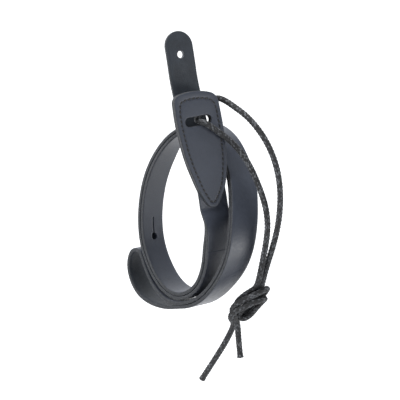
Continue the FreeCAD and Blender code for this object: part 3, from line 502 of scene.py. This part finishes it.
    (26.613, 2.808, -98.382, 0.30771, 0.94918, 0.06606, -0.89566, 0.31239, -0.31654, 1.60),
    (25.257, 2.870, -94.407, 0.35564, 0.92708, 0.11855, -0.90273, 0.37358, -0.21335, 1.25),
    (24.636, 2.533, -89.883, 0.35755, 0.92652, 0.11715, -0.92791, 0.36662, -0.06754, 1.20),
    (23.362, 2.001, -81.732, 0.35464, 0.92780, 0.11584, -0.91976, 0.36845, -0.13520, 1.20),
    (22.109, 1.493, -73.847, 0.35458, 0.92778, 0.11620, -0.92234, 0.36745, -0.11941, 1.20),
    (20.856, 0.985, -65.962, 0.35459, 0.92778, 0.11611, -0.92168, 0.36773, -0.12365, 1.20),
    (19.760, 0.540, -59.063, 0.35459, 0.92778, 0.11614, -0.92189, 0.36764, -0.12230, 1.20),
    (18.664, 0.096, -52.164, 0.35459, 0.92778, 0.11611, -0.92168, 0.36773, -0.12365, 1.20),
]
SPLIT = 107
KEYHOLE = [
    (-25.051, 2.605, -116.946, -0.00156, 0.99997, 0.00790, -0.98517, -0.00018, -0.17160),
    (-25.421, 2.592, -114.513, -0.00038, 1.00000, 0.00183, -0.99132, -0.00014, -0.13145),
    (-25.709, 2.603, -112.066, 0.00123, 0.99993, -0.01202, -0.99460, -0.00003, -0.10382),
    (-25.942, 2.657, -109.614, 0.00270, 0.99947, -0.03250, -0.99623, -0.00013, -0.08674),
    (-26.135, 2.763, -107.163, 0.00343, 0.99856, -0.05353, -0.99753, -0.00034, -0.07026),
    (-26.287, 2.921, -104.712, 0.00345, 0.99724, -0.07422, -0.99860, -0.00049, -0.05297),
]
A = np.array(STATIONS)
dist = np.r_[0, np.cumsum(np.linalg.norm(np.diff(A[:, :3], axis=0), axis=1))]
TOTAL = dist[-1]
line_p = natural_spline(dist, A[:, 0:3])
line_w = natural_spline(dist, A[:, 3:6])


def ribbon(name, s0, s1, round_start=False, cap_start=True, cap_end=True, step=0.8):
    n = int(math.ceil((s1 - s0) / step))
    ss = np.linspace(s0, s1, n + 1)
    if round_start:
        R = W / 2
        k = np.linspace(0, np.pi / 2, 26)[1:]
        lead = s0 + R * (1 - np.cos(k))
        ss = np.r_[s0 + 0.012, lead, ss[ss > lead[-1] + 0.3]]
    P, T = line_p(ss)
    T = unit(T)
    Dv, _ = line_w(ss)
    Dv = unit(Dv - T * np.sum(Dv * T, 1, keepdims=True))
    Nn = np.cross(T, Dv)
    t = np.interp(ss, dist, A[:, 9])
    hw = np.full(len(ss), W / 2)
    if round_start:
        x = np.clip(ss - s0, 0, W / 2)
        hw = np.sqrt(np.clip((W / 2) ** 2 - (W / 2 - x) ** 2, 0.02, None))
    # half profile, grain side on -n: (distance in from the rim, height towards the grain as a share of half the thickness, zone)
    prof = [(0.62, 1.00, 0), (0.40, 0.96, 0.3), (0.20, 0.84, 0.6), (0.06, 0.62, 0.95), (0.0, 0.30, 1.0),
            (0.0, -0.25, 1.0), (0.02, -0.70, 1.0), (0.12, -0.90, 1.2), (0.30, -1.0, 1.8)]
    inner = np.linspace(-1, 1, 13)[1:-1]
    flesh = np.linspace(1, -1, 7)[1:-1]
    cols = []
    for d, h, z in reversed(prof):     # near rim, from flesh up to grain
        cols.append((-1, d, h, z))
    for q in inner:
        cols.append((q, None, 1.0, 0))
    for d, h, z in prof:               # far rim, grain down to flesh
        cols.append((1, d, h, z))
    for q in flesh:
        cols.append((q, None, -1.0, 2))
    V, Z, U1, U2 = [], [], [], []
    per = 0.0
    m = len(cols)
    for sgn, d, h, z in cols:
        if d is None:
            x = sgn * (hw - 0.62)
        else:
            x = sgn * np.maximum(hw - d, 0.0)
        y = -h * t / 2
        V.append(P + Dv * x[:, None] + Nn * y[:, None])
        Z.append(np.full(len(ss), z))
    V = np.stack(V, 1) * MM
    ring = V[len(ss) // 2]
    dd = np.r_[0, np.cumsum(np.linalg.norm(np.diff(ring, axis=0), axis=1))]
    Z = np.stack(Z, 1)
    ns = len(ss)
    idx = np.arange(ns * m).reshape(ns, m)
    q = np.stack([idx[:-1], idx[1:], np.roll(idx, -1, 1)[1:], np.roll(idx, -1, 1)[:-1]], -1).reshape(-1, 4)
    faces = q.tolist()
    if cap_start:
        faces.append(idx[0][::-1].tolist())
    if cap_end:
        faces.append(idx[-1].tolist())
    ob = new_mesh_object(name, V.reshape(-1, 3), faces)
    float_attr(ob, "zone", Z.ravel())
    float_attr(ob, "shade", np.zeros(ns * m))
    uvl = ob.data.uv_layers.new(name="UVMap")
    li = np.empty(len(ob.data.loops), np.int32)
    ob.data.loops.foreach_get("vertex_index", li)
    uu = np.repeat(ss * MM, m)
    vv = np.tile(dd, ns)
    uvl.data.foreach_set("uv", np.stack([uu[li], vv[li]], -1).astype(np.float32).ravel())
    return ob


def cylinder(name, r, z0, z1, frame_rows, segs=48):
    """Closed cutter: a cylinder along the strap's normal at a frame row."""
    p, w, n = (np.array(frame_rows[i:i + 3]) for i in (0, 3, 6))
    y = np.cross(n, w)
    V = []
    for z in (z0, z1):
        for k in range(segs):
            a = 2 * math.pi * k / segs
            V.append((p + w * r * math.cos(a) + y * r * math.sin(a) + n * z) * MM)
    F = [[k, (k + 1) % segs, segs + (k + 1) % segs, segs + k] for k in range(segs)]
    F += [list(range(segs))[::-1], list(range(segs, 2 * segs))]
    return new_mesh_object(name, V, F, smooth=False)


def cut(ob, cutter):
    md = ob.modifiers.new("cut", "BOOLEAN")
    md.operation = "DIFFERENCE"
    md.solver = "EXACT"
    md.object = cutter
    bpy.context.view_layer.update()
    dg = bpy.context.evaluated_depsgraph_get()
    me = bpy.data.meshes.new_from_object(ob.evaluated_get(dg), preserve_all_data_layers=True, depsgraph=dg)
    ob.modifiers.remove(md)
    old = ob.data
    ob.data = me
    bpy.data.meshes.remove(old)
    bpy.data.objects.remove(cutter)


CROSS = dist[SPLIT] - 22.0       # the piece that crosses the flexing joint starts here
strap = ribbon("strap_leather_run", 0.0, CROSS, round_start=True, cap_end=True)
strap_end = ribbon("strap_leather_end", CROSS, TOTAL, cap_start=False)

hole_row = list(STATIONS[0])
hole_row[0:3] = [0.0, 0.0, 0.0]
cut(strap, cylinder("cut_hole", 2.3, -6, 6, hole_row))
cut(strap, cylinder("cut_key", 2.4, -4.0, 1.27, KEYHOLE[0]))
# slit: a thin bar following the strap
V, F = [], []
for r in KEYHOLE:
    p, w, n = (np.array(r[i:i + 3]) for i in (0, 3, 6))
    for a, b in ((-0.42, -3.0), (0.42, -3.0), (0.42, 1.27), (-0.42, 1.27)):
        V.append((p + w * a + n * b) * MM)
nk = len(KEYHOLE)
for i in range(nk - 1):
    for k in range(4):
        F.append([i * 4 + k, i * 4 + (k + 1) % 4, (i + 1) * 4 + (k + 1) % 4, (i + 1) * 4 + k])
F += [[3, 2, 1, 0], [(nk - 1) * 4 + k for k in range(4)]]
cut(strap, new_mesh_object("cut_slit", V, F, smooth=False))

mat_strap = leather_material("strap_leather", 1.12, 0.42)
mat_panel = leather_material("panel_leather", 1.25, 0.5, pebble=1100.0, bump=0.3)
for ob, body in ((strap, "strap"), (strap_end, None)):
    ob.data.materials.clear()
    ob.data.materials.append(mat_strap)
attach(strap, "strap")
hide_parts("strap")
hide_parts("strap_head_end")

# --------------------------------------------------------------------- head
HT, DH, TH, NH = (np.array(v) for v in ((25.084, 2.700, -92.574), (0.35459, 0.92778, 0.11613), (0.15658, 0.06352, -0.98562), (0.92182, -0.36767, 0.12275)))
UP = -TH


def head(s, v, n):
    return (HT + UP * s + DH * v + NH * n) * MM


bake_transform(strap_end)


def arc3(a, b, c, n):
    """Points on the circle through a, b, c, from a to c, without c."""
    a, b, c = (np.array(q, float) for q in (a, b, c))
    d = 2 * (a[0] * (b[1] - c[1]) + b[0] * (c[1] - a[1]) + c[0] * (a[1] - b[1]))
    ux = ((a @ a) * (b[1] - c[1]) + (b @ b) * (c[1] - a[1]) + (c @ c) * (a[1] - b[1])) / d
    uy = ((a @ a) * (c[0] - b[0]) + (b @ b) * (a[0] - c[0]) + (c @ c) * (b[0] - a[0])) / d
    o = np.array([ux, uy])
    r = np.linalg.norm(a - o)
    t0, tm, t1 = (math.atan2(*(q - o)[::-1]) for q in (a, b, c))
    def wrap(x):
        return (x + math.pi) % (2 * math.pi) - math.pi
    d1 = wrap(tm - t0)
    d2 = wrap(t1 - tm)
    tt = t0 + np.linspace(0, d1 + d2, n, endpoint=False)
    return [tuple(o + r * np.array([math.cos(q), math.sin(q)])) for q in tt]


OUTLINE = [
    ((-5.4, 2.3), (-0.7, -0.9), (4.0, 2.3)),
    ((4.0, 2.3), (8.5, 9.0), (11.7, 18.0)),
    ((11.7, 18.0), (13.6, 27.5), (14.4, 37.0)),
    ((14.4, 37.0), (14.8, 49.0), (14.3, 61.5)),
    ((14.3, 61.5), (13.1, 66.8), (9.2, 69.8)),
    ((9.2, 69.8), (-1.3, 71.9), (-11.2, 71.2)),
    ((-11.2, 71.2), (-15.1, 69.4), (-16.5, 64.8)),
    ((-16.5, 64.8), (-16.75, 53.5), (-15.9, 42.5)),
    ((-15.9, 42.5), (-14.3, 30.0), (-11.3, 18.3)),
    ((-11.3, 18.3), (-8.7, 9.6), (-5.4, 2.3)),
]


def eased(pts, times, count=240):
    pts = np.array(pts)
    for _ in range(times):
        pts = 0.5 * pts + 0.25 * (np.roll(pts, 1, 0) + np.roll(pts, -1, 0))
    cl = np.vstack([pts, pts[:1]])
    d = np.r_[0, np.cumsum(np.linalg.norm(np.diff(cl, axis=0), axis=1))]
    q = np.linspace(0, d[-1], count + 1)[:-1]
    return np.stack([np.interp(q, d, cl[:, 0]), np.interp(q, d, cl[:, 1])], -1)


def shield():
    pts = []
    for q in OUTLINE:
        pts += arc3(*q, 24)
    return eased(pts, 6)


def inset(loop, d):
    """Loop moved inwards by d, along smoothed normals (loop runs anticlockwise)."""
    t = np.roll(loop, -1, 0) - np.roll(loop, 1, 0)
    t /= np.linalg.norm(t, axis=1, keepdims=True)
    nrm = np.stack([-t[:, 1], t[:, 0]], -1)
    return loop + nrm * (d if np.isscalar(d) else np.asarray(d)[:, None])


OUT = shield()
INSET = 2.9 + 1.5 * np.clip((OUT[:, 1] - 60.0) / 8.0, 0, 1)     # stitch line from the edge
SLOT_S, SLOT_V = 53.4, -2.0


def slot_loop(grow=0.0, n=26):
    r = 2.8 + grow
    a = 9.1 - 2.8
    pts = []
    for k in range(n):
        q = -math.pi / 2 + math.pi * k / (n - 1)
        pts.append((SLOT_V + a + r * math.cos(q), SLOT_S + r * math.sin(q)))
    for k in range(n):
        q = math.pi / 2 + math.pi * k / (n - 1)
        pts.append((SLOT_V - a + r * math.cos(q), SLOT_S + r * math.sin(q)))
    return np.array(pts)


def panel(name, side):
    """Head panel with eased edges and a pressed stitch channel. side +1 front."""
    top_n, in_n = 2.2, 0.03
    # outer face: inset, depth below the face, zone
    prof = [(0.0, 1.00, 1.0), (0.0, 0.55, 1.0), (0.10, 0.28, 0.8), (0.28, 0.11, 0.5), (0.55, 0.03, 0.1), (0.95, 0.0, 0.0),
            (1.5, 0.0, 0.0), (-0.62, 0.02, 0.0), (-0.34, 0.13, 0.0), (0.0, 0.20, 0.0), (-10.34, 0.13, 0.0), (-10.66, 0.0, 0.0), (-11.2, -0.0, 0.0)]
    bm = bmesh.new()
    loops, zone = [], {}

    def add_loop(P2, n, z):
        vs = []
        for x, y in P2:
            v = bm.verts.new(tuple(head(y, x, side * n)))
            zone[v] = z
            vs.append(v)
        loops.append(vs)
        return vs

    def bridge(a, b):
        k = len(a)
        for i in range(k):
            bm.faces.new((a[i], a[(i + 1) % k], b[(i + 1) % k], b[i]))

    base = add_loop(OUT, in_n, 1.0)
    rim = add_loop(OUT, in_n + 0.7, 1.0)
    bridge(base, rim)
    prev = rim
    for k, (d, dep, z) in enumerate(prof):
        nn = top_n - dep * 1.0
        if k > 6:          # these follow the stitch line
            d = INSET + (d if d > -10 else -(d + 10))
        cur = add_loop(inset(OUT, d), nn, z)
        bridge(prev, cur)
        prev = cur
    face_in = prev
    # slot lips, from the face down through the thickness
    sp = [(0.75, 0.02, 0.0), (0.42, 0.06, 0.2), (0.18, 0.17, 0.6), (0.03, 0.38, 1.0), (0.0, 0.7, 1.0)]
    prevs = None
    for g, dep, z in sp:
        cur = add_loop(slot_loop(g), top_n - dep, z)
        if prevs:
            bridge(cur, prevs)
        else:
            slot_face = cur
        prevs = cur
    slot_in = add_loop(slot_loop(0.0), in_n, 1.0)
    bridge(slot_in, prevs)
    # flat fills: face between stitch channel and slot, and the inner face
    def fill(a, b):
        es = []
        for L in (a, b):
            for i in range(len(L)):
                e = bm.edges.get((L[i], L[(i + 1) % len(L)])) or bm.edges.new((L[i], L[(i + 1) % len(L)]))
                es.append(e)
        r = bmesh.ops.triangle_fill(bm, use_beauty=True, use_dissolve=False, edges=es)
        return [g for g in r["geom"] if isinstance(g, bmesh.types.BMFace)]
    f1 = fill(face_in, slot_face)
    for v in slot_in + base:
        zone[v] = 1.0
    f2 = fill(base, slot_in)
    bmesh.ops.recalc_face_normals(bm, faces=bm.faces[:])
    for f in bm.faces:
        f.smooth = True
    zlist = {}
    bm.verts.index_update()
    for v in bm.verts:
        zlist[v.index] = zone.get(v, 0.0)
    flat = {f.index for f in f1}
    me = bpy.data.meshes.new(name)
    bm.to_mesh(me)
    bm.free()
    ob = bpy.data.objects.new(name, me)
    scene.collection.objects.link(ob)
    float_attr(ob, "zone", [zlist[i] for i in range(len(me.vertices))])
    float_attr(ob, "shade", [0.0] * len(me.vertices))
    uvl = me.uv_layers.new(name="UVMap")
    li = np.empty(len(me.loops), np.int32)
    me.loops.foreach_get("vertex_index", li)
    co = np.empty(len(me.vertices) * 3, np.float32)
    me.vertices.foreach_get("co", co)
    co = co.reshape(-1, 3) - head(0, 0, 0)
    uu = co @ UP + 0.3
    vv = co @ DH + (co @ NH) * 0.9
    uvl.data.foreach_set("uv", np.stack([uu[li], vv[li]], -1).astype(np.float32).ravel())
    ob.data.materials.append(mat_panel)
    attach(ob, "head")
    return ob


front = panel("head_front_leather", 1)
back = panel("head_back_leather", -1)
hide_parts("head_front_panel")
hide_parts("head_back_panel")

# stitches: short waxed threads pressed in the channel, ends dipping into the leather
mat_thread = thread_material("waxed_thread")
lp = eased(inset(OUT, INSET), 4)
cl = np.vstack([lp, lp[:1]])
dl = np.r_[0, np.cumsum(np.linalg.norm(np.diff(cl, axis=0), axis=1))]
NST = int(round(dl[-1] / 3.0))
rng = np.random.default_rng(5)


def at_loop(q):
    q = q % dl[-1]
    return np.array([np.interp(q, dl, cl[:, 0]), np.interp(q, dl, cl[:, 1])])


def stitches(name, side):
    V, F, UVs = [], [], []
    pitch = dl[-1] / NST
    for k in range(NST):
        q0 = k * pitch
        a, b = at_loop(q0 + 0.22), at_loop(q0 + pitch - 0.22)
        t = b - a
        t /= np.linalg.norm(t)
        nrm = np.array([-t[1], t[0]])
        off = 0.34 * side
        a = a - nrm * off
        b = b + nrm * off
        wob = rng.uniform(-0.04, 0.04)
        rings, seg = 11, 10
        base = len(V)
        for i in range(rings):
            f = i / (rings - 1)
            c2 = a + (b - a) * f
            lift = 2.2 - 0.26 + 0.12 * math.sin(math.pi * f) ** 0.5 - 0.32 * (2 * f - 1) ** 6
            c = head(c2[1], c2[0], side * (lift + wob * 0.3))
            t3 = (DH * (b - a)[0] + UP * (b - a)[1])
            t3 /= np.linalg.norm(t3)
            n3 = NH * side
            b3 = np.cross(t3, n3)
            rr = 0.52 * (1 - 0.35 * (2 * f - 1) ** 4) * MM
            for j in range(seg):
                g = 2 * math.pi * j / seg
                V.append(c + b3 * rr * 1.08 * math.cos(g) + n3 * rr * 0.9 * math.sin(g))
                UVs.append((q0 * MM + f * pitch * MM + 0.00035 * j, 0.0004 * j))
        for i in range(rings - 1):
            for j in range(seg):
                F.append([base + i * seg + j, base + i * seg + (j + 1) % seg, base + (i + 1) * seg + (j + 1) % seg, base + (i + 1) * seg + j])
        F.append([base + j for j in range(seg)][::-1])
        F.append([base + (rings - 1) * seg + j for j in range(seg)])
    ob = new_mesh_object(name, V, F)
    uvl = ob.data.uv_layers.new(name="UVMap")
    li = np.empty(len(ob.data.loops), np.int32)
    ob.data.loops.foreach_get("vertex_index", li)
    uvl.data.foreach_set("uv", np.array(UVs)[li].astype(np.float32).ravel())
    ob.data.materials.append(mat_thread)
    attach(ob, "head")
    return ob


st_f = stitches("stitches_front", 1)
st_b = stitches("stitches_back", -1)
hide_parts("needle_thread")
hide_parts("bobbin_thread")

# -------------------------------------------------------------- stage, light
def sweep():
    pts = [(-2.5, -0.42), (0.9, -0.42)]
    V, F = [], []
    prof = [(-3.0, -0.42)]
    for k in range(13):
        a = math.pi / 2 * k / 12
        prof.append((1.1 + 0.8 * math.sin(a), -0.42 + 0.8 * (1 - math.cos(a))))
    prof.append((1.9, 3.0))
    for d, z in prof:
        for x in (-4.0, 4.0):
            # d runs away from the camera, x across the view
            px = -math.sin(math.radians(40)) * d + math.cos(math.radians(40)) * x
            py = math.cos(math.radians(40)) * d + math.sin(math.radians(40)) * x
            V.append((px, py, z))
    for i in range(len(prof) - 1):
        F.append([2 * i, 2 * i + 1, 2 * i + 3, 2 * i + 2])
    ob = new_mesh_object("studio_sweep", V, F)
    M = Mat("studio_paper")
    nz = M.noise(M.coord("Object"), 3.0, 2.0)
    M.set("Base Color", M.ramp(nz, [(0.3, (0.93, 0.93, 0.93)), (0.7, (0.96, 0.96, 0.96))]))
    M.set("Roughness", 0.9)
    M.set("Specular IOR Level", 0.0)
    M.set("Emission Color", (1.0, 1.0, 1.0))
    M.set("Emission Strength", 0.8)
    ob.data.materials.append(M.m)
    ob.visible_diffuse = False
    return ob


sweep()
world = bpy.data.worlds.new("studio") if scene.world is None else scene.world
scene.world = world
world.use_nodes = True
bg = world.node_tree.nodes.get("Background") or world.node_tree.nodes.new("ShaderNodeBackground")
bg.inputs[0].default_value = (0.84, 0.91, 1.0, 1)
bg.inputs[1].default_value = 0.27


def area(name, loc, target, size, power, color=(1, 1, 1)):
    d = bpy.data.lights.new(name, "AREA")
    d.shape = "RECTANGLE"
    d.size, d.size_y = size
    d.energy = power
    d.color = color
    ob = bpy.data.objects.new(name, d)
    scene.collection.objects.link(ob)
    ob.location = loc
    ob.rotation_euler = (Vector(target) - Vector(loc)).to_track_quat("-Z", "Y").to_euler()
    return ob


r_ = np.array([math.cos(math.radians(40)), math.sin(math.radians(40)), 0])
f_ = np.array([-math.sin(math.radians(40)), math.cos(math.radians(40)), 0])   # away from the camera
u_ = np.array([0, 0, 1.0])
ctr = np.array([0.01, 0.005, -0.095])
area("key", tuple(ctr - r_ * 0.75 - f_ * 0.30 + u_ * 0.55), tuple(ctr), (0.7, 0.9), 13.0)
area("right", tuple(ctr + r_ * 0.9 - f_ * 0.35 - u_ * 0.35), tuple(ctr), (0.6, 0.6), 9.0)
area("top", tuple(ctr + u_ * 1.0 + f_ * 0.1), tuple(ctr), (1.0, 0.8), 10.0)
